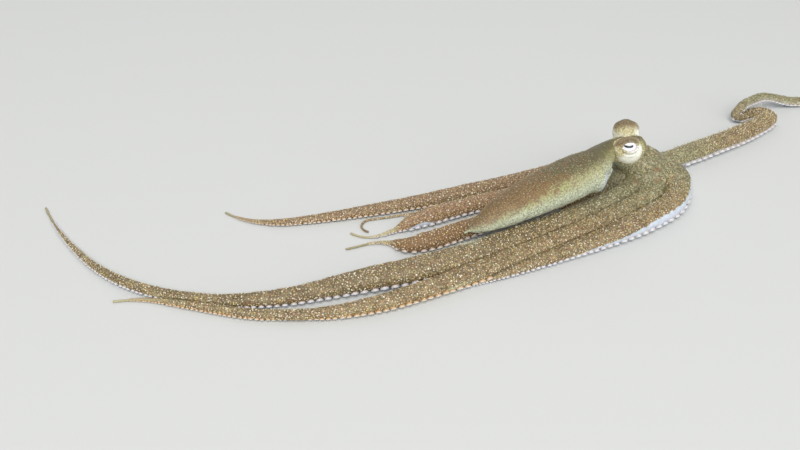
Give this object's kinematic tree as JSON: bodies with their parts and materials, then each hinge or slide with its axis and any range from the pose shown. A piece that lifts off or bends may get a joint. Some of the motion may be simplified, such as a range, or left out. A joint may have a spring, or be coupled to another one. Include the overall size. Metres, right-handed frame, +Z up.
{
  "type": "octopus",
  "caption": "Slender long-armed octopus lying on a level floor, arms swept back along its body and one arm reaching forward.",
  "frame": {"origin": "middle of the whole animal's box, at floor level", "axes": "+X the way the animal faces, its right side towards -Y, +Z up"},
  "size_m": [0.4744, 0.1886, 0.0302],
  "materials": {
    "skin": "moist mottled skin, brown and sand-coloured with pale yellow grains",
    "pale_skin": "moist whitish skin of the funnel",
    "eye": "wet, clear and glossy over a white iris and a black slit pupil"
  },
  "bodies": {
    "root": {"arm_left_1_1": "skin", "arm_left_1_2": "skin", "arm_left_1_3": "skin", "arm_left_1_4": "skin", "arm_left_2_1": "skin", "arm_left_2_2": "skin", "arm_left_2_3": "skin", "arm_left_3_1": "skin", "arm_left_3_2": "skin", "arm_left_3_3": "skin", "arm_left_4_1": "skin", "arm_left_4_2": "skin", "arm_left_4_3": "skin", "arm_right_1_1": "skin", "arm_right_1_2": "skin", "arm_right_1_3": "skin", "arm_right_1_4": "skin", "arm_right_1_5": "skin", "arm_right_1_6": "skin", "arm_right_2_1": "skin", "arm_right_2_2": "skin", "arm_right_2_3": "skin", "arm_right_2_4": "skin", "arm_right_3_1": "skin", "arm_right_3_2": "skin", "arm_right_3_3": "skin", "arm_right_3_4": "skin", "arm_right_3_5": "skin", "arm_right_4_1": "skin", "arm_right_4_2": "skin", "arm_right_4_3": "skin", "arm_right_4_4": "skin", "arm_right_4_5": "skin", "crown": "skin", "eye_left": "eye", "eye_right": "eye", "funnel": "pale_skin", "head": "skin", "mantle": "skin"}
  },
  "joints": []
}
